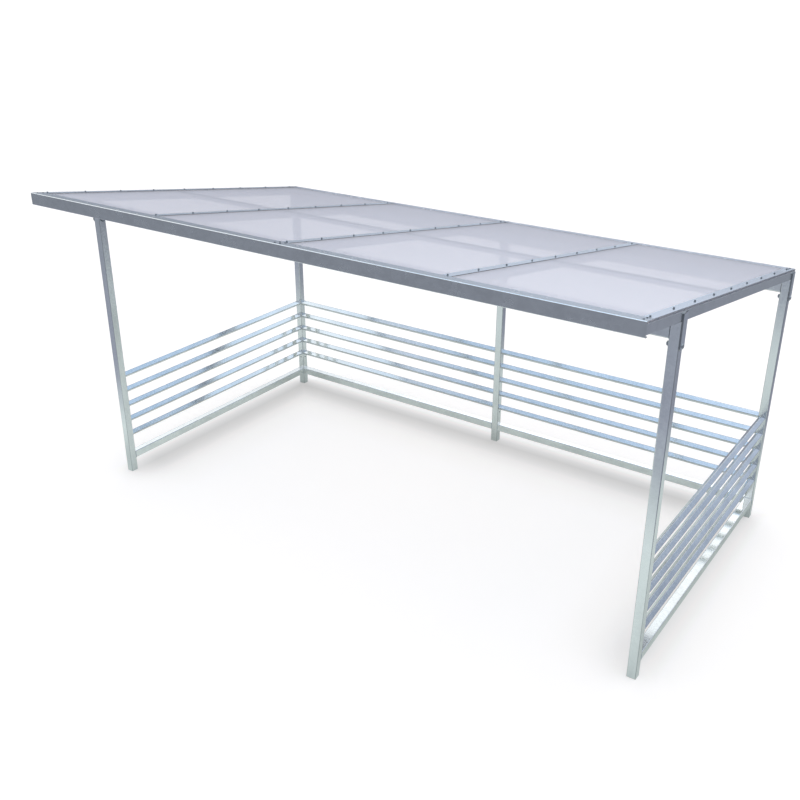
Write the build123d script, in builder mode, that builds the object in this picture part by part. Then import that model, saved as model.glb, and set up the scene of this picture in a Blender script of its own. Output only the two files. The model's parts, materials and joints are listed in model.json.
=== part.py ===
"""Bike shelter: open steel frame, lean-to roof of clear panels, square-rail fences on three sides.

Origin on the ground under the centre of the roof, +X along the shelter, +Y to the rear, +Z up.
"""

import os
from math import atan2, cos, degrees, sin, tan

from build123d import *

# Whole shelter
shelter_length = 4600  # over the outer faces of the posts
roof_depth = 2850  # over the outer faces of the two fascias, measured level
front_height = 2475  # ground to the top of the front edge
roof_fall = 468  # how much lower the rear edge is
front_overhang = 507  # front edge to the front posts
rear_overhang = 16  # rear posts to rear edge

# Square tube of the posts, side beams and bottom rails
post_size = 60
post_wall = 3
post_corner = 6  # outer radius of the tube's corners

# Rectangular tube of the two cross beams
cross_height = 95
cross_wall = 4
cross_corner = 8

# Beams of the roof from left to right, with one bay between each two
beam_names = ["side_beam_left", "rafter_left", "rafter_middle", "rafter_right", "side_beam_right"]

# Rectangular tube of the rafters, and of the purlin between them
rafter_width = 40
rafter_depth = 60
rafter_wall = 3
rafter_corner = 6
purlin_width = 100
purlin_depth = 25
purlin_setback = 1312  # front edge to the front face of the purlin, along the slope

# Roof panels and the flat strips that hold them down
panel_thickness = 10
panel_gap = 6  # between two panels on one rafter, and at the fascias
strip_width = 60
strip_thickness = 3
strip_edge = 1  # bevel of the strip's upper edges
strip_gap = 2  # between a strip's end and the fascia

# Folded fascias along the front and rear edges
fascia_thickness = 3
fascia_flange = 97  # on top of the panels
fascia_bend = 4  # middle radius of the folds
front_fascia_height = 87
front_fascia_lip = 24
rear_fascia_height = 76

# Ear plates that hold the side beams to the posts
ear_width = 60
ear_thickness = 8
ear_above = 50  # over the underside of the side beam
ear_below = 155
ear_chamfer = 10
bolt_edge = 20  # bolt's centre to the ear's lower end

# Bolt through each ear and post
bolt_radius = 8
bolt_clearance = 1
bolt_head_radius = 15
bolt_head_height = 6
bolt_head_bevel = 4  # around the low cup head
nut_flange_radius = 20
nut_flange_height = 4
nut_flats = 24
nut_height = 10  # over its flange
bolt_tail = 2  # past the nut
thread_gap = 0.1

# Fences, their rails square tubes set on edge
rail_size = 38
rail_wall = 2
rail_corner = 4
rail_turn = 45  # degrees about the rail's own length
rail_count = 5
top_rail_height = 867  # ground to the middle of the top rail
rail_pitch = 133
bottom_rail_base = 110

# Places worked out from the dimensions above
half_length = shelter_length / 2
y_front = -roof_depth / 2
y_rear = roof_depth / 2
pitch = atan2(roof_fall, roof_depth)
slope_length = roof_depth / cos(pitch)
post_x = half_length - post_size / 2
post_y_front = y_front + front_overhang + post_size / 2
post_y_rear = y_rear - rear_overhang - post_size / 2
post_inner = post_x - post_size / 2
ear_face = half_length + ear_thickness
bay_count = len(beam_names) - 1
beam_spacing = 2 * post_x / bay_count
panel_level = strip_thickness  # depths below the roof's top surface, square to it
rafter_level = panel_level + panel_thickness
beam_underside = rafter_level + rafter_depth

slope_direction = (0, cos(pitch), -sin(pitch))
roof_normal = (0, sin(pitch), cos(pitch))
roof_top = Plane(origin=(0, y_front, front_height), x_dir=(1, 0, 0), z_dir=roof_normal)
overrun = 100  # spare length that the level cuts take off


def roof_height(y, depth=0):
    """Height of the roof at a place from front to rear, at a depth below its top surface."""
    return front_height - tan(pitch) * (y - y_front) - depth / cos(pitch)


def beam_x(index):
    """Place along the shelter of a roof beam, counted from the left."""
    return index * beam_spacing - post_x


def beam_width(index):
    return post_size if index in (0, bay_count) else rafter_width


def bolt_height(y):
    """Height of the bolt that joins an ear plate to its post."""
    return roof_height(y, beam_underside) - ear_below + bolt_edge


def tube_section(width, height, wall, corner, turn=0):
    """Adds a hollow rectangle to the open sketch, its corners rounded outside and square inside."""
    RectangleRounded(width, height, corner, rotation=turn)
    Rectangle(width - 2 * wall, height - 2 * wall, rotation=turn, mode=Mode.SUBTRACT)


def keep_between(y_low, y_high):
    """Cuts the open part with two upright planes, so its ends stand plumb."""
    split(bisect_by=Plane(origin=(0, y_low, 0), z_dir=(0, 1, 0)), keep=Keep.TOP)
    split(bisect_by=Plane(origin=(0, y_high, 0), z_dir=(0, 1, 0)), keep=Keep.BOTTOM)


def save(builder, name):
    """Names a finished piece and writes it."""
    builder.part.label = name
    export_step(builder.part, f"parts/{name}.step")


os.makedirs("parts", exist_ok=True)


# Posts, corner ones cut to the slope under the side beams
def make_post(name, x, y):
    side = 1 if x > 0 else -1
    with BuildPart() as post:
        with BuildSketch(Plane.XY):
            with Locations((x, y)):
                tube_section(post_size, post_size, post_wall, post_corner)
        extrude(amount=front_height)
        split(bisect_by=roof_top.offset(-beam_underside), keep=Keep.BOTTOM)
        with BuildSketch(Plane(origin=(x, y, bolt_height(y)), z_dir=(side, 0, 0))):
            Circle(bolt_radius + bolt_clearance)
        extrude(amount=post_size, both=True, mode=Mode.SUBTRACT)
    save(post, name)


cross_top = {y: roof_height(y + post_size / 2, beam_underside) for y in (post_y_front, post_y_rear)}
corners = {
    "front_left": (-post_x, post_y_front),
    "front_right": (post_x, post_y_front),
    "rear_left": (-post_x, post_y_rear),
    "rear_right": (post_x, post_y_rear),
}
for corner, (x, y) in corners.items():
    make_post(f"post_{corner}", x, y)

with BuildPart() as middle_post:
    with BuildSketch(Plane.XY):
        with Locations((0, post_y_rear)):
            tube_section(post_size, post_size, post_wall, post_corner)
    extrude(amount=cross_top[post_y_rear] - cross_height)
save(middle_post, "post_rear_middle")


# Cross beams from post to post, under the rafters
for name, y in (("cross_beam_front", post_y_front), ("cross_beam_rear", post_y_rear)):
    with BuildPart() as cross_beam:
        with BuildSketch(Plane.YZ.offset(-post_inner)):
            with Locations((y, cross_top[y] - cross_height / 2)):
                tube_section(post_size, cross_height, cross_wall, cross_corner)
        extrude(amount=2 * post_inner)
    save(cross_beam, name)


# Side beams over the posts and rafters under the seams, all down the slope
slope_start = Plane(
    origin=tuple(roof_top.origin - overrun * Vector(*slope_direction)),
    x_dir=(1, 0, 0),
    z_dir=slope_direction,
)
for index, name in enumerate(beam_names):
    with BuildPart() as rafter:
        with BuildSketch(slope_start):
            with Locations((beam_x(index), rafter_level + rafter_depth / 2)):
                tube_section(beam_width(index), rafter_depth, rafter_wall, rafter_corner)
        extrude(amount=slope_length + 2 * overrun)
        keep_between(y_front + fascia_thickness, y_rear - fascia_thickness)
    save(rafter, name)


# Purlin, one length in each bay between the rafters
for bay in range(bay_count):
    x_low = beam_x(bay) + beam_width(bay) / 2
    x_high = beam_x(bay + 1) - beam_width(bay + 1) / 2
    purlin_plane = Plane(
        origin=tuple(roof_top.origin + Vector(x_low, 0, 0)), x_dir=slope_direction, z_dir=(1, 0, 0)
    )
    with BuildPart() as purlin:
        with BuildSketch(purlin_plane):
            with Locations((purlin_setback + purlin_width / 2, -rafter_level - purlin_depth / 2)):
                tube_section(purlin_width, purlin_depth, rafter_wall, rafter_corner)
        extrude(amount=x_high - x_low)
    save(purlin, f"purlin_bay_{bay + 1}")


# Roof panels, one in each bay, meeting over the rafters
for bay in range(bay_count):
    x_low = -half_length if bay == 0 else beam_x(bay) + panel_gap / 2
    x_high = half_length if bay == bay_count - 1 else beam_x(bay + 1) - panel_gap / 2
    with BuildPart() as panel:
        with BuildSketch(roof_top.offset(-rafter_level)):
            with Locations(((x_low + x_high) / 2, slope_length / 2)):
                Rectangle(x_high - x_low, slope_length)
        extrude(amount=panel_thickness)
        keep_between(y_front + fascia_thickness + panel_gap, y_rear - fascia_thickness - panel_gap)
    save(panel, f"roof_panel_{bay + 1}")


# Fascias folded from sheet, their flanges on top of the panels
middle = fascia_thickness / 2
front_path = [
    (y_front + fascia_flange, roof_height(y_front + fascia_flange, middle)),
    (y_front + middle, roof_height(y_front + middle, middle)),
    (y_front + middle, front_height - front_fascia_height + middle),
    (y_front + front_fascia_lip, front_height - front_fascia_height + middle),
]
rear_path = [
    (y_rear - fascia_flange, roof_height(y_rear - fascia_flange, middle)),
    (y_rear - middle, roof_height(y_rear - middle, middle)),
    (y_rear - middle, roof_height(y_rear) - rear_fascia_height),
]
for name, path in (("fascia_front", front_path), ("fascia_rear", rear_path)):
    with BuildPart() as fascia:
        with BuildSketch(Plane.YZ.offset(-half_length)):
            with BuildLine():
                FilletPolyline(*path, radius=fascia_bend)
            trace(line_width=fascia_thickness)
        extrude(amount=shelter_length)
    save(fascia, name)


# Strips over the seams and along both side beams, from fascia to fascia
strips = {
    "strip_left": -half_length + strip_width / 2,
    "strip_seam_left": -beam_spacing,
    "strip_seam_middle": 0,
    "strip_seam_right": beam_spacing,
    "strip_right": half_length - strip_width / 2,
}
strip_margin = (fascia_flange + strip_gap) / cos(pitch)
for name, x in strips.items():
    with BuildPart() as strip:
        with BuildSketch(roof_top.offset(-panel_level)):
            with Locations((x, slope_length / 2)):
                Rectangle(strip_width, slope_length - 2 * strip_margin)
        extrude(amount=strip_thickness)
        chamfer(strip.faces().sort_by(Axis((0, 0, 0), roof_normal))[-1].edges(), strip_edge)
    save(strip, name)


# Ear plates on the outer faces of the corner posts and side beams
def make_ear(name, x, y):
    side = 1 if x > 0 else -1
    underside = roof_height(y, beam_underside)
    ear_plane = Plane(origin=(side * half_length, y, underside), x_dir=(0, side, 0), z_dir=(side, 0, 0))
    with BuildPart() as ear:
        with BuildSketch(ear_plane):
            with Locations((0, (ear_above - ear_below) / 2)):
                Rectangle(ear_width, ear_above + ear_below)
        extrude(amount=ear_thickness)
        lower_corners = ear.edges().filter_by(Axis.X).group_by(Axis.Z)[0]
        chamfer(lower_corners, ear_chamfer)
        with Locations(Plane(origin=(side * ear_face, y, bolt_height(y)), z_dir=(side, 0, 0))):
            Hole(bolt_radius + bolt_clearance)
    save(ear, name)


for corner, (x, y) in corners.items():
    make_ear(f"ear_{corner}", x, y)


# Bolts through ears and posts, cup heads outside and flange nuts inside
with BuildPart() as bolts:
    for x, y in corners.values():
        side = 1 if x > 0 else -1
        head_seat = Plane(origin=(side * ear_face, y, bolt_height(y)), z_dir=(side, 0, 0))
        with BuildSketch(head_seat):
            Circle(bolt_head_radius)
        extrude(amount=bolt_head_height)
        with BuildSketch(head_seat):
            Circle(bolt_radius)
        extrude(amount=-(ear_thickness + post_size + nut_flange_height + nut_height + bolt_tail))
    by_side = bolts.faces().group_by(Axis.X)
    chamfer(by_side[0].edges() + by_side[-1].edges(), bolt_head_bevel)
save(bolts, "post_bolts")

with BuildPart() as nuts:
    for x, y in corners.values():
        side = 1 if x > 0 else -1
        nut_seat = Plane(origin=(side * post_inner, y, bolt_height(y)), z_dir=(-side, 0, 0))
        with BuildSketch(nut_seat):
            Circle(nut_flange_radius)
        extrude(amount=nut_flange_height)
        with BuildSketch(nut_seat):
            RegularPolygon(nut_flats / 2, 6, major_radius=False)
        extrude(amount=nut_flange_height + nut_height)
        with BuildSketch(nut_seat):
            Circle(bolt_radius + thread_gap)
        extrude(amount=nut_flange_height + nut_height, mode=Mode.SUBTRACT)
save(nuts, "post_nuts")


# Fences, each bay with rails on edge and a flat square rail at the bottom
rail_heights = [top_rail_height - rail_pitch * row for row in range(rail_count)]
side_start = Plane.XZ.offset(-post_y_front - post_size / 2)
side_span = post_y_rear - post_y_front - post_size
rear_span = post_inner - post_size / 2
fences = {
    "left": (side_start, -post_x, -side_span),
    "right": (side_start, post_x, -side_span),
    "rear_left": (Plane.YZ.offset(-post_inner), post_y_rear, rear_span),
    "rear_right": (Plane.YZ.offset(post_size / 2), post_y_rear, rear_span),
}
for bay, (start, across, reach) in fences.items():
    with BuildPart() as rails:
        with BuildSketch(start):
            with Locations(*[(across, height) for height in rail_heights]):
                tube_section(rail_size, rail_size, rail_wall, rail_corner, rail_turn)
        extrude(amount=reach)
    save(rails, f"rails_{bay}")
    with BuildPart() as bottom_rail:
        with BuildSketch(start):
            with Locations((across, bottom_rail_base + post_size / 2)):
                tube_section(post_size, post_size, post_wall, post_corner)
        extrude(amount=reach)
    save(bottom_rail, f"bottom_rail_{bay}")
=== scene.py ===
import json
import math

import bpy
from mathutils import Euler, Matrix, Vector


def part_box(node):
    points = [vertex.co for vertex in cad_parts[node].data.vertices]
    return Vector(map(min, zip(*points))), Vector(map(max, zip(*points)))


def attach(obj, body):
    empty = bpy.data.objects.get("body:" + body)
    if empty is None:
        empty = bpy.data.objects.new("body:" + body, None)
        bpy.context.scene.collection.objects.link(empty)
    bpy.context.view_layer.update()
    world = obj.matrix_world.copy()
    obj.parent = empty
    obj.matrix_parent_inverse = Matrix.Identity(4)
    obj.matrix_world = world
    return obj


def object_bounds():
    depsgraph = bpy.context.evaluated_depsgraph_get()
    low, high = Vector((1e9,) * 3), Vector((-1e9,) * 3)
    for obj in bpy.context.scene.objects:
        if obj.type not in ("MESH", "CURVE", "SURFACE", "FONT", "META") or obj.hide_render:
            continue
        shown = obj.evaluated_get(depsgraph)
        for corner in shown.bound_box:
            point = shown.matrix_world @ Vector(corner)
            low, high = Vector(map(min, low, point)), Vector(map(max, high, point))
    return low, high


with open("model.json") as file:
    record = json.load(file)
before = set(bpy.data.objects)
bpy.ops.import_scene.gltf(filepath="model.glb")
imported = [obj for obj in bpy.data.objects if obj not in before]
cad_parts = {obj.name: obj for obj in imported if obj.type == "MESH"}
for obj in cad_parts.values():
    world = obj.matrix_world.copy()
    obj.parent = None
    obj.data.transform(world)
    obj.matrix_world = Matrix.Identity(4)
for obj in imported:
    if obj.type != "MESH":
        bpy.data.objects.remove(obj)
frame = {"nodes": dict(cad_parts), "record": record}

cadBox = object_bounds()
parts = frame["nodes"]
print("frame loaded:", len(parts), "nodes")


# sRGB hex to the linear colour that the shaders take
def hexColor(text):
    channels = [int(text[i:i + 2], 16) / 255 for i in (1, 3, 5)]
    linear = [c / 12.92 if c <= 0.04045 else ((c + 0.055) / 1.055) ** 2.4 for c in channels]
    return (*linear, 1.0)


# adds one node: settings are its own fields, values its unlinked sockets, links what feeds a socket
def addNode(tree, kind, settings=None, values=None, links=None):
    node = tree.nodes.new(kind)
    for field, value in (settings or {}).items():
        setattr(node, field, value)
    for socket, value in (values or {}).items():
        node.inputs[socket].default_value = value
    for socket, source in (links or {}).items():
        tree.links.new(source, node.inputs[socket])
    return node


def newMaterial(name):
    material = bpy.data.materials.new(name)
    material.use_nodes = True
    material.node_tree.nodes.clear()
    return material, material.node_tree


def setRamp(ramp, stops):
    while len(ramp.elements) > 1:
        ramp.elements.remove(ramp.elements[-1])
    ramp.elements[0].position, ramp.elements[0].color = stops[0]
    for position, color in stops[1:]:
        ramp.elements.new(position).color = color


# What the bare metals share: the noise values between which tone and gloss run, the noises' detail, the
# depth of the grit in metres, and the squareness at which a face counts as slanted or as square
metalSkin = {"mottleFrom": 0.3, "mottleTo": 0.7, "cloudDetail": 3.0, "cloudRoughness": 0.55,
             "gritDetail": 2.0, "gritDepth": 0.0004, "slantBelow": 0.76, "squareAbove": 0.95}


# Bare metal with a zinc or mill skin: soft drawn-out clouds of grey, and small spangle crystals among them,
# with painted shade or a painted highlight on corners, folds and cut edges
def spangledMetal(name, ownLook):
    look = {**metalSkin, **ownLook}
    material, tree = newMaterial(name)
    coords = addNode(tree, "ShaderNodeTexCoord")
    drawn = addNode(tree, "ShaderNodeMapping", {"vector_type": "POINT"}, {"Scale": look["drawn"]},
                    {"Vector": coords.outputs["Object"]})
    clouds = addNode(tree, "ShaderNodeTexNoise",
                     values={"Scale": 1000 / look["cloudMm"], "Detail": look["cloudDetail"],
                             "Roughness": look["cloudRoughness"]},
                     links={"Vector": drawn.outputs["Vector"]})
    spangle = addNode(tree, "ShaderNodeTexVoronoi",
                      values={"Scale": 1000 / look["spangleMm"], "Randomness": 1.0},
                      links={"Vector": coords.outputs["Object"]})
    spangleTone = addNode(tree, "ShaderNodeSeparateColor", links={"Color": spangle.outputs["Color"]})
    mottle = addNode(tree, "ShaderNodeMix", {"data_type": "FLOAT"}, {"Factor": look["spangleShare"]},
                     {"A": clouds.outputs["Fac"], "B": spangleTone.outputs["Red"]})
    tone = addNode(tree, "ShaderNodeValToRGB", links={"Fac": mottle.outputs["Result"]})
    setRamp(tone.color_ramp, [(look["mottleFrom"], hexColor(look["dark"])),
                              (look["mottleTo"], hexColor(look["light"]))])
    rough = addNode(tree, "ShaderNodeMapRange",
                    values={"From Min": look["mottleFrom"], "From Max": look["mottleTo"],
                            "To Min": look["roughLow"], "To Max": look["roughHigh"]},
                    links={"Value": mottle.outputs["Result"]})
    grit = addNode(tree, "ShaderNodeTexNoise",
                   values={"Scale": 1000 / look["gritMm"], "Detail": look["gritDetail"]},
                   links={"Vector": coords.outputs["Object"]})
    bump = addNode(tree, "ShaderNodeBump", values={"Strength": look["bump"], "Distance": look["gritDepth"]},
                   links={"Height": grit.outputs["Fac"]})
    # squareness is 1 where the normal lies along an axis, or along flatAxis, and less on rounded corners,
    # folds,
    # cut edges and faces that slant: the base colour is scaled by it, which paints shade or a highlight on
    # those
    normal = addNode(tree, "ShaderNodeVectorMath", {"operation": "ABSOLUTE"},
                     links={0: coords.outputs["Normal"]})
    sides = addNode(tree, "ShaderNodeSeparateXYZ", links={"Vector": normal.outputs["Vector"]})
    if "flatAxis" in look:
        squareness = sides.outputs[look["flatAxis"]]
    else:
        widest = addNode(tree, "ShaderNodeMath", {"operation": "MAXIMUM"},
                         links={0: sides.outputs["X"], 1: sides.outputs["Y"]})
        squareness = addNode(tree, "ShaderNodeMath", {"operation": "MAXIMUM"},
                             links={0: widest.outputs["Value"], 1: sides.outputs["Z"]}).outputs["Value"]
    sideLevel = addNode(tree, "ShaderNodeMapRange",
                        values={"From Min": look["slantBelow"], "From Max": look["squareAbove"],
                                "To Min": look["slantPaintedLevel"], "To Max": look["squarePaintedLevel"]},
                        links={"Value": squareness})
    paintedEdgeTone = addNode(tree, "ShaderNodeVectorMath", {"operation": "SCALE"},
                       links={0: tone.outputs["Color"], "Scale": sideLevel.outputs["Result"]})
    shader = addNode(tree, "ShaderNodeBsdfPrincipled", values={"Metallic": 1.0},
                     links={"Base Color": paintedEdgeTone.outputs["Vector"], "Roughness": rough.outputs["Result"],
                            "Normal": bump.outputs["Normal"]})
    addNode(tree, "ShaderNodeOutputMaterial", links={"Surface": shader.outputs["BSDF"]})
    return material


# Hot-dip galvanised square tube: satin, with clouds drawn out upwards and a painted dark line of shade along
# each corner
tubeLook = {"dark": "#DDE0E1", "light": "#EAEDEE", "cloudMm": 120, "drawn": (1.0, 1.0, 0.45),
            "spangleMm": 14, "spangleShare": 0.2, "gritMm": 6, "roughLow": 0.18, "roughHigh": 0.26,
            "bump": 0.015, "slantPaintedLevel": 0.4, "squarePaintedLevel": 1.0}
# The same zinc on thinner tube set on edge: glossier, with slanted faces and painted shade darkening the
# ridges between them
railLook = {"dark": "#DFE2E3", "light": "#F0F3F4", "cloudMm": 90, "drawn": (0.45, 0.45, 1.0),
            "spangleMm": 11, "spangleShare": 0.2, "gritMm": 5, "roughLow": 0.1, "roughHigh": 0.16,
            "bump": 0.01, "slantPaintedLevel": 1.0, "squarePaintedLevel": 0.5}
# Bottom rails: glossy enough to mirror the rails above them, square on, so their corners carry painted dark
# lines of shade
bottomLook = {**railLook, "roughLow": 0.07, "roughHigh": 0.13, "slantPaintedLevel": 0.5, "squarePaintedLevel": 1.0}
# Galvanised plate of the ears: a bright face with cut edges darkened by painted shade
earLook = {**tubeLook, "dark": "#E4E8EC", "light": "#F0F4F8", "flatAxis": "X", "slantPaintedLevel": 0.35}
# Galvanised folded sheet: dull and even, with a painted highlight on the folds
fasciaLook = {"dark": "#C6C8C9", "light": "#D0D2D3", "cloudMm": 90, "drawn": (0.6, 1.0, 1.0),
              "spangleMm": 22, "spangleShare": 0.25, "gritMm": 6, "roughLow": 0.2, "roughHigh": 0.28,
              "bump": 0.005, "slantPaintedLevel": 1.75, "squarePaintedLevel": 1.0}
# The rear sheet gets a paler tone than the front, and a weaker painted highlight on its folds
rearFasciaLook = {**fasciaLook, "dark": "#DDDFE1", "light": "#E7E9EB", "slantPaintedLevel": 1.1}
# Mill-finish aluminium strip: paler and smoother than the zinc beside it, with cut edges darkened by painted
# shade
stripLook = {"dark": "#E8ECEE", "light": "#F3F7F9", "cloudMm": 200, "drawn": (1.0, 0.4, 0.4),
             "spangleMm": 10, "spangleShare": 0.15, "gritMm": 4, "roughLow": 0.16, "roughHigh": 0.24,
             "bump": 0.02, "flatAxis": "Z", "slantPaintedLevel": 0.22, "squarePaintedLevel": 1.0}
# Zinc-plated steel of bolts and nuts: fine-grained and a darker grey, alike on every side
boltLook = {"dark": "#92969B", "light": "#ADB1B6", "cloudMm": 12, "drawn": (1.0, 1.0, 1.0), "spangleMm": 4,
            "spangleShare": 0.3, "gritMm": 1.5, "roughLow": 0.25, "roughHigh": 0.35, "bump": 0.1,
            "slantPaintedLevel": 1.0, "squarePaintedLevel": 1.0}
# Screws: the same plating, darker still
screwLook = {**boltLook, "dark": "#7C828A", "light": "#92989F"}
# Weld beads: zinc over a rough bead, so nearly matt and a little darker than the tube
weldLook = {**tubeLook, "dark": "#B2B8BC", "light": "#CCD2D6", "cloudMm": 20, "roughLow": 0.35,
            "roughHigh": 0.5, "slantPaintedLevel": 1.0}


# Twin-wall polycarbonate: extruded clear sheet whose ribs blur what is behind, milkier the flatter one looks
panelLook = {"haze": "#E6DEE1", "hazeDark": "#DCD4D8", "ribMm": 10.5, "alphaFacing": 0.1,
             "alphaGrazing": 0.68, "milkyFrom": 0.2, "milkyTo": 0.86, "roughness": 0.16, "ior": 1.58}


def twinWallSheet(name, look):
    material, tree = newMaterial(name)
    coords = addNode(tree, "ShaderNodeTexCoord")
    # a wave texture of scale s repeats every pi / (10 * s)
    ribs = addNode(tree, "ShaderNodeTexWave", {"bands_direction": "Y", "wave_profile": "SIN"},
                   {"Scale": 1000 * math.pi / (10 * look["ribMm"])}, {"Vector": coords.outputs["Object"]})
    tone = addNode(tree, "ShaderNodeValToRGB", links={"Fac": ribs.outputs["Fac"]})
    setRamp(tone.color_ramp, [(0.0, hexColor(look["hazeDark"])), (0.5, hexColor(look["haze"]))])
    slant = addNode(tree, "ShaderNodeLayerWeight")
    milky = addNode(tree, "ShaderNodeMapRange",
                    values={"From Min": look["milkyFrom"], "From Max": look["milkyTo"],
                            "To Min": look["alphaFacing"], "To Max": look["alphaGrazing"]},
                    links={"Value": slant.outputs["Facing"]})
    # the cut side edges face along X, and can't be seen through
    normal = addNode(tree, "ShaderNodeSeparateXYZ", links={"Vector": coords.outputs["Normal"]})
    edge = addNode(tree, "ShaderNodeMath", {"operation": "ABSOLUTE"}, links={0: normal.outputs["X"]})
    alpha = addNode(tree, "ShaderNodeMath", {"operation": "MAXIMUM"},
                    links={0: milky.outputs["Result"], 1: edge.outputs["Value"]})
    shader = addNode(tree, "ShaderNodeBsdfPrincipled",
                     values={"Metallic": 0.0, "Roughness": look["roughness"], "IOR": look["ior"]},
                     links={"Base Color": tone.outputs["Color"], "Alpha": alpha.outputs["Value"]})
    addNode(tree, "ShaderNodeOutputMaterial", links={"Surface": shader.outputs["BSDF"]})
    return material


# The mouth of a hollow as painted shade: nothing in it catches the light, so a plain dark matt face stands in
# for it
def shadedHollow(name, look):
    material, tree = newMaterial(name)
    shader = addNode(tree, "ShaderNodeBsdfPrincipled",
                     values={"Base Color": hexColor(look["shade"]), "Metallic": 0.0,
                             "Roughness": look["roughness"]})
    addNode(tree, "ShaderNodeOutputMaterial", links={"Surface": shader.outputs["BSDF"]})
    return material


finishes = {
    "tube": spangledMetal("hotDipGalvanisedTube", tubeLook),
    "rail": spangledMetal("hotDipGalvanisedRail", railLook),
    "fascia": spangledMetal("galvanisedFoldedSheet", fasciaLook),
    "strip": spangledMetal("millFinishStrip", stripLook),
    "ear": spangledMetal("galvanisedPlate", earLook),
    "panel": twinWallSheet("twinWallPolycarbonate", panelLook),
    "bolt": spangledMetal("zincPlatedSteel", boltLook),
}
# pieces given a tone of their own, brighter than the rest of their slot
brighter = {
    "fascia_rear": spangledMetal("galvanisedRearSheet", rearFasciaLook),
    **dict.fromkeys([name for name in parts if name.startswith("bottom_rail")],
                    spangledMetal("galvanisedBottomRail", bottomLook)),
}
for entry in frame["record"]["subparts"]:
    part = parts[entry["node"]]
    part.data.materials.clear()
    part.data.materials.append(brighter.get(entry["node"], finishes[entry["material_slot"]]))
print("finishes on the frame:", len(finishes), "slots and", len(brighter), "brighter pieces")


# Rows of one small shape, counted along and across, as a Geometry Nodes tree with named inputs
def rowsTree():
    tree = bpy.data.node_groups.new("rowsOfShape", "GeometryNodeTree")
    for name, kind in (("Shape", "NodeSocketObject"), ("Start", "NodeSocketVector"),
                       ("Along", "NodeSocketVector"), ("Count", "NodeSocketInt"),
                       ("Across", "NodeSocketVector"), ("Rows", "NodeSocketInt"),
                       ("Turn", "NodeSocketVector"), ("Finish", "NodeSocketMaterial")):
        tree.interface.new_socket(name, in_out="INPUT", socket_type=kind)
    tree.interface.new_socket("Geometry", in_out="OUTPUT", socket_type="NodeSocketGeometry")
    asked = addNode(tree, "NodeGroupInput")
    rows = addNode(tree, "GeometryNodeMeshLine", {"mode": "OFFSET"},
                   links={"Count": asked.outputs["Rows"], "Start Location": asked.outputs["Start"],
                          "Offset": asked.outputs["Across"]})
    row = addNode(tree, "GeometryNodeMeshLine", {"mode": "OFFSET"},
                  links={"Count": asked.outputs["Count"], "Offset": asked.outputs["Along"]})
    grid = addNode(tree, "GeometryNodeInstanceOnPoints",
                   links={"Points": rows.outputs["Mesh"], "Instance": row.outputs["Mesh"]})
    places = addNode(tree, "GeometryNodeRealizeInstances", links={"Geometry": grid.outputs["Instances"]})
    shape = addNode(tree, "GeometryNodeObjectInfo", {"transform_space": "ORIGINAL"},
                    links={"Object": asked.outputs["Shape"]})
    turn = addNode(tree, "FunctionNodeEulerToRotation", links={"Euler": asked.outputs["Turn"]})
    copies = addNode(tree, "GeometryNodeInstanceOnPoints",
                     links={"Points": places.outputs["Geometry"], "Instance": shape.outputs["Geometry"],
                            "Rotation": turn.outputs["Rotation"]})
    solid = addNode(tree, "GeometryNodeRealizeInstances", links={"Geometry": copies.outputs["Instances"]})
    finished = addNode(tree, "GeometryNodeSetMaterial",
                       links={"Geometry": solid.outputs["Geometry"], "Material": asked.outputs["Finish"]})
    addNode(tree, "NodeGroupOutput", links={"Geometry": finished.outputs["Geometry"]})
    return tree


rowsOfShape = rowsTree()


def meshObject(name, vertices, faces, smooth=False):
    mesh = bpy.data.meshes.new(name)
    mesh.from_pydata(vertices, [], faces)
    mesh.polygons.foreach_set("use_smooth", [smooth] * len(faces))
    mesh.update()
    piece = bpy.data.objects.new(name, mesh)
    bpy.context.scene.collection.objects.link(piece)
    return piece


# runs the tree for every row that is asked for and joins the results into one plain piece
def placeRows(name, shape, rows, finish):
    pieces = []
    for row in rows:
        piece = meshObject(name, [], [])
        modifier = piece.modifiers.new("rows", "NODES")
        modifier.node_group = rowsOfShape
        asked = {"Count": 1, "Rows": 1, "Along": (0, 0, 0), "Across": (0, 0, 0), "Turn": (0, 0, 0),
                 "Shape": shape, "Finish": finish, **row}
        for item in rowsOfShape.interface.items_tree:
            if item.in_out == "INPUT":
                value = asked[item.name]
                modifier[item.identifier] = tuple(value) if isinstance(value, Vector) else value
        placed = bpy.data.meshes.new_from_object(
            piece.evaluated_get(bpy.context.evaluated_depsgraph_get()))
        piece.modifiers.remove(modifier)
        piece.data = placed
        pieces.append(piece)
    whole = pieces[0]
    if len(pieces) > 1:
        with bpy.context.temp_override(active_object=whole, object=whole, selected_objects=pieces,
                                       selected_editable_objects=pieces):
            bpy.ops.object.join()
    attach(whole, "root")
    bpy.data.objects.remove(shape)
    print(name, "placed:", len(whole.data.polygons), "faces")


# The roof's upper surface, read from the largest face of the middle strip that looks up
leastUpward = 0.9
stripTop = max((face for face in parts["strip_seam_middle"].data.polygons if face.normal.z > leastUpward),
               key=lambda face: face.area)
roofPitch = math.atan2(stripTop.normal.y, stripTop.normal.z)


# a point of the roof by its plan, a depth under the upper surface
def roofPoint(x, y, depth=0.0):
    height = stripTop.center.z - (y - stripTop.center.y) * math.tan(roofPitch)
    return Vector((x, y, height - depth / math.cos(roofPitch)))


def downSlope(distance):
    return Vector((0, distance, -distance * math.tan(roofPitch)))


# Roof screws: hexagon heads on washers, nine down each of five strips, and pairs through the fascias at the
# ends and on both sides of the middle; a pair is its distance from the roof's edge, then its gap
screwLayout = {"strips": 5, "perStrip": 9, "firstFromFront": 0.116, "pitch": 0.32575,
               "frontPair": (0.034, 0.045), "rearPair": (0.090, 0.055), "middleGap": 0.04}
screwHead = {"sides": 6, "radius": 0.005, "height": 0.0075, "washerSides": 14, "washerRadius": 0.007,
             "washerHeight": 0.001}
fasciaScrewHead = {**screwHead, "height": 0.0036}


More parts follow.
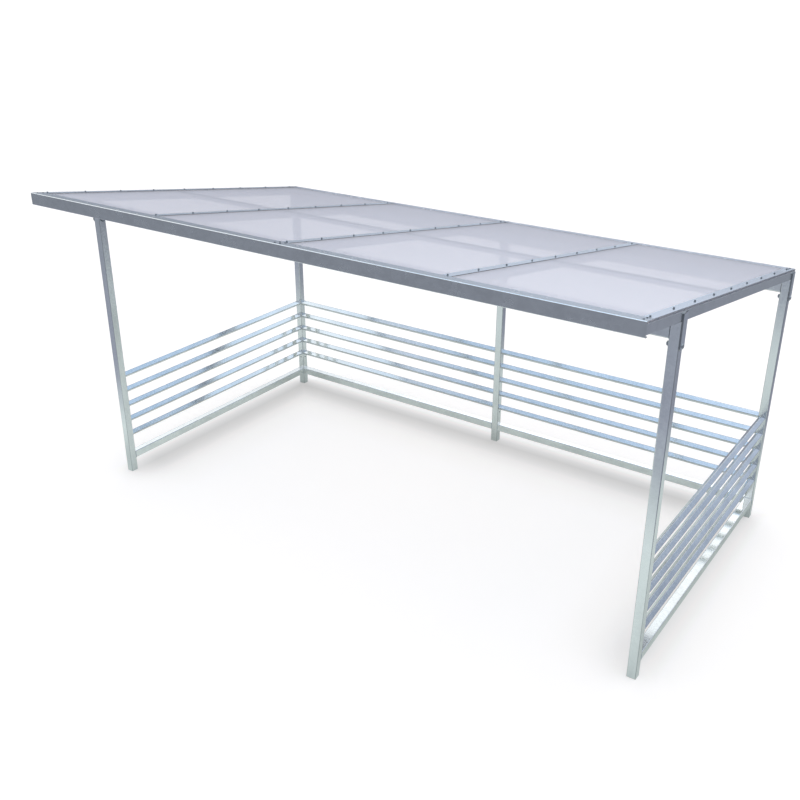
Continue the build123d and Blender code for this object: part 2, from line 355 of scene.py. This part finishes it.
def screwShape(size):
    vertices, faces = [], []
    for sides, radius, low, high in ((size["washerSides"], size["washerRadius"], 0.0, size["washerHeight"]),
                                     (size["sides"], size["radius"], size["washerHeight"], size["height"])):
        first = len(vertices)
        for level in (low, high):
            for step in range(sides):
                angle = 2 * math.pi * step / sides
                vertices.append((radius * math.cos(angle), radius * math.sin(angle), level))
        for step in range(sides):
            after = (step + 1) % sides
            faces.append((first + step, first + after, first + sides + after, first + sides + step))
        faces.append(tuple(range(first + sides, first + 2 * sides)))
        faces.append(tuple(reversed(range(first, first + sides))))
    return meshObject("screwHead", vertices, faces)


def placeScrews(layout):
    yFront, yRear = cadBox[0].y, cadBox[1].y
    xLeft, xRight = [(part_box(name)[0].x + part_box(name)[1].x) / 2 for name in ("strip_left", "strip_right")]
    spacing = (xRight - xLeft) / (layout["strips"] - 1)
    turn = (-roofPitch, 0, 0)
    down = {"Start": roofPoint(xLeft, yFront + layout["firstFromFront"]), "Count": layout["perStrip"],
            "Along": downSlope(layout["pitch"]), "Rows": layout["strips"], "Across": Vector((spacing, 0, 0)),
            "Turn": turn}
    finish = spangledMetal("darkScrewSteel", screwLook)
    placeRows("roof_screws", screwShape(screwHead), [down], finish)
    rows = []
    for y, gap in ((yFront + layout["frontPair"][0], layout["frontPair"][1]),
                   (yRear - layout["rearPair"][0], layout["rearPair"][1])):
        pair = {"Count": 2, "Along": downSlope(gap), "Rows": 2, "Turn": turn}
        rows.append({**pair, "Start": roofPoint(xLeft, y), "Across": Vector((xRight - xLeft, 0, 0))})
        rows.append({**pair, "Start": roofPoint(-layout["middleGap"] / 2, y),
                     "Across": Vector((layout["middleGap"], 0, 0))})
    placeRows("fascia_screws", screwShape(fasciaScrewHead), rows, finish)


placeScrews(screwLayout)


# Open cells along the cut edges of the two outer panels, as dark boxes of painted shade; their middles lie at
# depth under the strips' tops
cellLook = {"pitch": 0.0105, "width": 0.0078, "height": 0.0078, "proud": 0.0004, "depth": 0.008,
            "shade": "#6C727D", "roughness": 0.6}


def boxShape(name, size):
    x, y, z = (length / 2 for length in size)
    vertices = [(i * x, j * y, k * z) for i in (-1, 1) for j in (-1, 1) for k in (-1, 1)]
    faces = [(0, 1, 3, 2), (4, 6, 7, 5), (0, 4, 5, 1), (2, 3, 7, 6), (0, 2, 6, 4), (1, 5, 7, 3)]
    return meshObject(name, vertices, faces)


def placeCells(look):
    low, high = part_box("roof_panel_1")
    across = Vector((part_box("roof_panel_4")[1].x - low.x, 0, 0))
    row = {"Start": roofPoint(low.x, low.y + look["pitch"], look["depth"]), "Turn": (-roofPitch, 0, 0),
           "Count": int((high.y - low.y - look["pitch"]) / look["pitch"]), "Along": downSlope(look["pitch"]),
           "Rows": 2, "Across": across}
    shape = boxShape("cellMouth", (2 * look["proud"], look["width"], look["height"]))
    placeRows("panel_cells", shape, [row], shadedHollow("cellHollow", look))


placeCells(cellLook)


# Fence bays by name, and which of them run from front to rear
fenceBays = {"left": True, "right": True, "rear_left": False, "rear_right": False}


# the two ends of a bay's tubes as a row, a given height below the top of their box
def bayEnds(node, frontToRear, drop):
    low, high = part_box(node)
    middle = (low + high) / 2
    if frontToRear:
        start, along, turn = (middle.x, low.y), (0, high.y - low.y, 0), math.pi / 2
    else:
        start, along, turn = (low.x, middle.y), (high.x - low.x, 0, 0), 0
    return {"Start": Vector((*start, high.z - drop)), "Count": 2, "Along": Vector(along),
            "Turn": (0, 0, turn)}


# Weld beads around the ends of the rails, where they meet the posts: the bead's radius, the steps around the
# tube and around the bead, and the share by which a corner is eased where it bulges past a multiple of half
weldSize = {"bead": 0.0026, "steps": 52, "ringSides": 6, "corner": 0.22, "bulge": 1.12}
# a bay's tubes: their count, half side, turn about their own length, and their axis below the box's top
railEnds = {"count": 5, "half": 0.019, "turn": math.pi / 4, "drop": 0.0252}
bottomEnds = {"count": 1, "half": 0.03, "turn": 0.0, "drop": 0.03}


# a bead around a square tube that runs along X
def weldRing(tube, size):
    vertices, faces = [], []
    steps, sides, bead = size["steps"], size["ringSides"], size["bead"]
    for step in range(steps):
        angle = 2 * math.pi * step / steps
        reach = tube["half"] / max(abs(math.cos(angle)), abs(math.sin(angle)))
        reach += size["corner"] * (min(reach, size["bulge"] * tube["half"]) - reach)
        for side in range(sides):
            around = 2 * math.pi * side / sides
            out = reach + bead * math.cos(around)
            vertices.append((bead * math.sin(around), out * math.cos(angle + tube["turn"]),
                             out * math.sin(angle + tube["turn"])))
    for step in range(steps):
        here, there = step * sides, (step + 1) % steps * sides
        for side in range(sides):
            after = (side + 1) % sides
            faces.append((here + side, here + after, there + after, there + side))
    return meshObject("weldRing", vertices, faces, smooth=True)


def placeWelds(size):
    finish = spangledMetal("galvanisedWeld", weldLook)
    for bay, frontToRear in fenceBays.items():
        for node, tube in ((f"rails_{bay}", railEnds), (f"bottom_rail_{bay}", bottomEnds)):
            low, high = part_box(node)
            pitch = (high.z - low.z - 2 * tube["drop"]) / max(tube["count"] - 1, 1)
            row = {**bayEnds(node, frontToRear, tube["drop"]), "Rows": tube["count"],
                   "Across": Vector((0, 0, -pitch))}
            placeRows(f"weld_{node}", weldRing(tube, size), [row], finish)


placeWelds(weldSize)


# Vent holes that let the zinc bath in, one in the post under the lowest rail at each end of a bay, drawn as
# dark discs of painted shade
ventLook = {"height": 0.287, "radius": 0.0065, "sides": 16, "proud": 0.0003, "shade": "#20262C",
            "roughness": 0.6}


# a thin disc that faces along X
def ventShape(look):
    sides = look["sides"]
    vertices = [(x, look["radius"] * math.cos(2 * math.pi * step / sides),
                 look["radius"] * math.sin(2 * math.pi * step / sides))
                for x in (-look["proud"], look["proud"]) for step in range(sides)]
    faces = [(step, (step + 1) % sides, sides + (step + 1) % sides, sides + step) for step in range(sides)]
    faces += [tuple(reversed(range(sides))), tuple(range(sides, 2 * sides))]
    return meshObject("ventMouth", vertices, faces)


def placeVents(look):
    rows = []
    for bay, frontToRear in fenceBays.items():
        node = f"rails_{bay}"
        rows.append(bayEnds(node, frontToRear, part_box(node)[1].z - look["height"]))
    placeRows("vent_holes", ventShape(look), rows, shadedHollow("ventHollow", look))


placeVents(ventLook)


# Floor: near white to the camera with a painted shadow at the fences' foot, and in reflections a painted pool
# of light around the shelter that darkens outwards
floorLook = {"size": 400.0, "seenTone": "#E4DAD2", "seenGlow": 0.34}
# in reflections: painted pool tones by the distance from the middle as a share of reach, with painted shade
# rearwards and at fences
poolLook = {"stretch": (0.8, 1.0, 1.0), "reach": 10.0,
            "tones": [(0.29, "#F3F3E7"), (0.395, "#A6A3AA"), (0.9, "#9E9DA0")],
            "fadeFrom": -1.7, "fadeTo": 2.0, "fadeLevel": 0.79,
            "fenceX": 2.45, "fenceY": 1.55, "fenceFrom": 0.05, "fenceTo": 0.45, "fenceLevel": 0.82}
# to the camera: a painted soft shadow at the fences' foot, by the distance inwards from shadeX and shadeY,
# which ends at the front posts and is fainter at the right fence
shadeLook = {"shadeX": 2.42, "shadeY": 1.5, "frontFrom": -1.1, "frontTo": -0.6,
             "rightFrom": 1.7, "rightTo": 2.25, "rightShare": 0.5,
             "levels": [(0.0, 1.0), (0.1, 0.67), (0.18, 0.53), (0.28, 0.68), (0.38, 0.85), (0.5, 0.93),
                        (0.8, 1.0)]}


# the floor's tone in reflections: a painted pool of light, with painted shade rearwards and along the fences
def poolTone(tree, point, place, sideways, look):
    oval = addNode(tree, "ShaderNodeVectorMath", {"operation": "MULTIPLY"}, {1: look["stretch"]}, {0: point})
    distance = addNode(tree, "ShaderNodeVectorMath", {"operation": "LENGTH"},
                       links={0: oval.outputs["Vector"]})
    pool = addNode(tree, "ShaderNodeMath", {"operation": "DIVIDE"}, {1: look["reach"]},
                   {0: distance.outputs["Value"]})
    tone = addNode(tree, "ShaderNodeValToRGB", links={"Fac": pool.outputs["Value"]})
    setRamp(tone.color_ramp, [(share, hexColor(shade)) for share, shade in look["tones"]])
    fade = addNode(tree, "ShaderNodeMapRange",
                   values={"From Min": look["fadeFrom"], "From Max": look["fadeTo"],
                           "To Min": 1.0, "To Max": look["fadeLevel"]},
                   links={"Value": place.outputs["Y"]})
    pastSide = addNode(tree, "ShaderNodeMath", {"operation": "SUBTRACT"}, {1: look["fenceX"]},
                       {0: sideways.outputs["Value"]})
    pastRear = addNode(tree, "ShaderNodeMath", {"operation": "SUBTRACT"}, {1: look["fenceY"]},
                       {0: place.outputs["Y"]})
    past = addNode(tree, "ShaderNodeMath", {"operation": "MAXIMUM"},
                   links={0: pastSide.outputs["Value"], 1: pastRear.outputs["Value"]})
    gap = addNode(tree, "ShaderNodeMath", {"operation": "ABSOLUTE"}, links={0: past.outputs["Value"]})
    fencePaintedShade = addNode(tree, "ShaderNodeMapRange", {"interpolation_type": "SMOOTHSTEP"},
                       {"From Min": look["fenceFrom"], "From Max": look["fenceTo"],
                        "To Min": look["fenceLevel"], "To Max": 1.0},
                       {"Value": gap.outputs["Value"]})
    level = addNode(tree, "ShaderNodeMath", {"operation": "MULTIPLY"},
                    links={0: fade.outputs["Result"], 1: fencePaintedShade.outputs["Result"]})
    dimmed = addNode(tree, "ShaderNodeVectorMath", {"operation": "SCALE"},
                     links={0: tone.outputs["Color"], "Scale": level.outputs["Value"]})
    return dimmed.outputs["Vector"]


# the floor's tone to the camera, with the painted shadow at the fences' foot
def shadedTone(tree, seenTone, place, sideways, look):
    fromSide = addNode(tree, "ShaderNodeMath", {"operation": "SUBTRACT"}, {0: look["shadeX"]},
                       {1: sideways.outputs["Value"]})
    fromRear = addNode(tree, "ShaderNodeMath", {"operation": "SUBTRACT"}, {0: look["shadeY"]},
                       {1: place.outputs["Y"]})
    inset = addNode(tree, "ShaderNodeMath", {"operation": "MINIMUM"},
                    links={0: fromSide.outputs["Value"], 1: fromRear.outputs["Value"]})
    paintedFootShadow = addNode(tree, "ShaderNodeValToRGB", links={"Fac": inset.outputs["Value"]})
    setRamp(paintedFootShadow.color_ramp, [(reach, (level, level, level, 1)) for reach, level in look["levels"]])
    enclosed = addNode(tree, "ShaderNodeMapRange", {"interpolation_type": "SMOOTHSTEP"},
                       {"From Min": look["frontFrom"], "From Max": look["frontTo"]},
                       {"Value": place.outputs["Y"]})
    fainter = addNode(tree, "ShaderNodeMapRange", {"interpolation_type": "SMOOTHSTEP"},
                      {"From Min": look["rightFrom"], "From Max": look["rightTo"],
                       "To Min": 1.0, "To Max": look["rightShare"]},
                      {"Value": place.outputs["X"]})
    share = addNode(tree, "ShaderNodeMath", {"operation": "MULTIPLY"},
                    links={0: enclosed.outputs["Result"], 1: fainter.outputs["Result"]})
    level = addNode(tree, "ShaderNodeMix", {"data_type": "FLOAT"}, {"A": 1.0},
                    {"Factor": share.outputs["Value"], "B": paintedFootShadow.outputs["Color"]})
    shaded = addNode(tree, "ShaderNodeVectorMath", {"operation": "SCALE"}, {0: hexColor(seenTone)[:3]},
                     {"Scale": level.outputs["Result"]})
    return shaded.outputs["Vector"]


def studioFloor(look):
    half = look["size"] / 2
    floor = meshObject("floor", [(-half, -half, 0), (half, -half, 0), (half, half, 0), (-half, half, 0)],
                       [(0, 1, 2, 3)])
    material, tree = newMaterial("whiteStudioFloor")
    coords = addNode(tree, "ShaderNodeTexCoord")
    point = coords.outputs["Object"]
    place = addNode(tree, "ShaderNodeSeparateXYZ", links={"Vector": point})
    sideways = addNode(tree, "ShaderNodeMath", {"operation": "ABSOLUTE"}, links={0: place.outputs["X"]})
    rays = addNode(tree, "ShaderNodeLightPath")
    # 6 and 7 are the mix's two colours, and 2 is its colour result
    color = addNode(tree, "ShaderNodeMix", {"data_type": "RGBA"},
                    links={0: rays.outputs["Is Glossy Ray"],
                           6: shadedTone(tree, look["seenTone"], place, sideways, shadeLook),
                           7: poolTone(tree, point, place, sideways, poolLook)})
    lit = addNode(tree, "ShaderNodeBsdfDiffuse", links={"Color": color.outputs[2]})
    seen = addNode(tree, "ShaderNodeMath", {"operation": "MULTIPLY"}, {1: look["seenGlow"]},
                   {0: rays.outputs["Is Camera Ray"]})
    glow = addNode(tree, "ShaderNodeEmission", links={"Strength": seen.outputs["Value"]})
    both = addNode(tree, "ShaderNodeAddShader", links={0: lit.outputs["BSDF"], 1: glow.outputs["Emission"]})
    addNode(tree, "ShaderNodeOutputMaterial", links={"Surface": both.outputs["Shader"]})
    floor.data.materials.append(material)


studioFloor(floorLook)


# Sky dome, plain white to the camera: tones by height from the horizon at 0 to overhead at 1, grey-blue low
# down, then a pale band, light blue above it and white on top
skyLook = {"level": 1.8,
           "tones": [(0.0, "#9096A1"), (0.26, "#6C7584"), (0.43, "#D1D4D5"), (0.55, "#D1D4D5"),
                     (0.7, "#94ADC6"), (0.85, "#A4BCD6"), (0.92, "#FFFFFF")],
           # the low sky is brighter towards the rear than elsewhere, which evens out up to highFrom
           "sideLevel": 0.93, "rearLevel": 1.62, "sideFrom": 0.7, "rearFrom": 0.97,
           "lowTo": 0.3, "highFrom": 0.6,
           # above leanFrom the tones stand higher on the left, by lean at most
           "lean": 0.2, "leanFrom": 0.48, "leanTo": 0.64}


# the sky's colour by direction
def skyTone(tree, direction, look):
    leftward = addNode(tree, "ShaderNodeMath", {"operation": "MINIMUM"}, {1: 0.0},
                       {0: direction.outputs["X"]})
    lean = addNode(tree, "ShaderNodeMapRange", {"interpolation_type": "SMOOTHSTEP"},
                   {"From Min": look["leanFrom"], "From Max": look["leanTo"], "To Max": look["lean"]},
                   {"Value": direction.outputs["Z"]})
    height = addNode(tree, "ShaderNodeMath", {"operation": "MULTIPLY_ADD"},
                     links={0: leftward.outputs["Value"], 1: lean.outputs["Result"],
                            2: direction.outputs["Z"]})
    tone = addNode(tree, "ShaderNodeValToRGB", links={"Fac": height.outputs["Value"]})
    setRamp(tone.color_ramp, [(stop, hexColor(shade)) for stop, shade in look["tones"]])
    return tone.outputs["Color"]


# the sky's strength by direction
def skyStrength(tree, point, direction, look):
    above = addNode(tree, "ShaderNodeMapRange", {"interpolation_type": "SMOOTHSTEP"},
                    {"From Min": look["lowTo"], "From Max": look["highFrom"]},
                    {"Value": direction.outputs["Z"]})
    flat = addNode(tree, "ShaderNodeVectorMath", {"operation": "MULTIPLY"}, {1: (1, 1, 0)}, {0: point})
    heading = addNode(tree, "ShaderNodeVectorMath", {"operation": "NORMALIZE"},
                      links={0: flat.outputs["Vector"]})
    rearward = addNode(tree, "ShaderNodeSeparateXYZ", links={"Vector": heading.outputs["Vector"]})
    bearing = addNode(tree, "ShaderNodeMapRange", {"interpolation_type": "SMOOTHSTEP"},
                      {"From Min": look["sideFrom"], "From Max": look["rearFrom"],
                       "To Min": look["sideLevel"], "To Max": look["rearLevel"]},
                      {"Value": rearward.outputs["Y"]})
    level = addNode(tree, "ShaderNodeMix", {"data_type": "FLOAT"}, {"B": 1.0},
                    {"Factor": above.outputs["Result"], "A": bearing.outputs["Result"]})
    strength = addNode(tree, "ShaderNodeMath", {"operation": "MULTIPLY"}, {1: look["level"]},
                       {0: level.outputs["Result"]})
    return strength.outputs["Value"]


def skyDome(look):
    world = bpy.data.worlds.new("studioSky")
    world.use_nodes = True
    tree = world.node_tree
    tree.nodes.clear()
    coords = addNode(tree, "ShaderNodeTexCoord")
    point = coords.outputs["Generated"]
    direction = addNode(tree, "ShaderNodeSeparateXYZ", links={"Vector": point})
    rays = addNode(tree, "ShaderNodeLightPath")
    seen = addNode(tree, "ShaderNodeMath", {"operation": "MAXIMUM"},
                   links={0: rays.outputs["Is Camera Ray"], 1: rays.outputs["Is Transmission Ray"]})
    lightSide = addNode(tree, "ShaderNodeBackground",
                        links={"Color": skyTone(tree, direction, look),
                               "Strength": skyStrength(tree, point, direction, look)})
    whiteSide = addNode(tree, "ShaderNodeBackground", values={"Color": (1, 1, 1, 1), "Strength": 1.0})
    mixed = addNode(tree, "ShaderNodeMixShader",
                    links={0: seen.outputs["Value"], 1: lightSide.outputs["Background"],
                           2: whiteSide.outputs["Background"]})
    addNode(tree, "ShaderNodeOutputWorld", links={"Surface": mixed.outputs["Shader"]})
    bpy.context.scene.world = world


skyDome(skyLook)
print("stage set")


# Camera at the photograph's place, right of the open side and above the roof, in metres, radians and mm
cameraSetup = {"place": (3.7682, -5.5119, 4.0188), "tiltDown": 0.434625, "turnLeft": 0.611127,
               "lens": 43.342, "sensor": 36.0, "sees": 1000.0}


def placeCamera(setup):
    data = bpy.data.cameras.new("camera")
    data.sensor_fit = "HORIZONTAL"
    data.sensor_width = setup["sensor"]
    data.lens = setup["lens"]
    data.clip_end = setup["sees"]
    camera = bpy.data.objects.new("camera", data)
    camera.location = setup["place"]
    camera.rotation_euler = Euler((math.pi / 2 - setup["tiltDown"], 0, setup["turnLeft"]))
    bpy.context.scene.collection.objects.link(camera)
    bpy.context.scene.camera = camera


placeCamera(cameraSetup)
bpy.context.scene.view_settings.view_transform = "Standard"
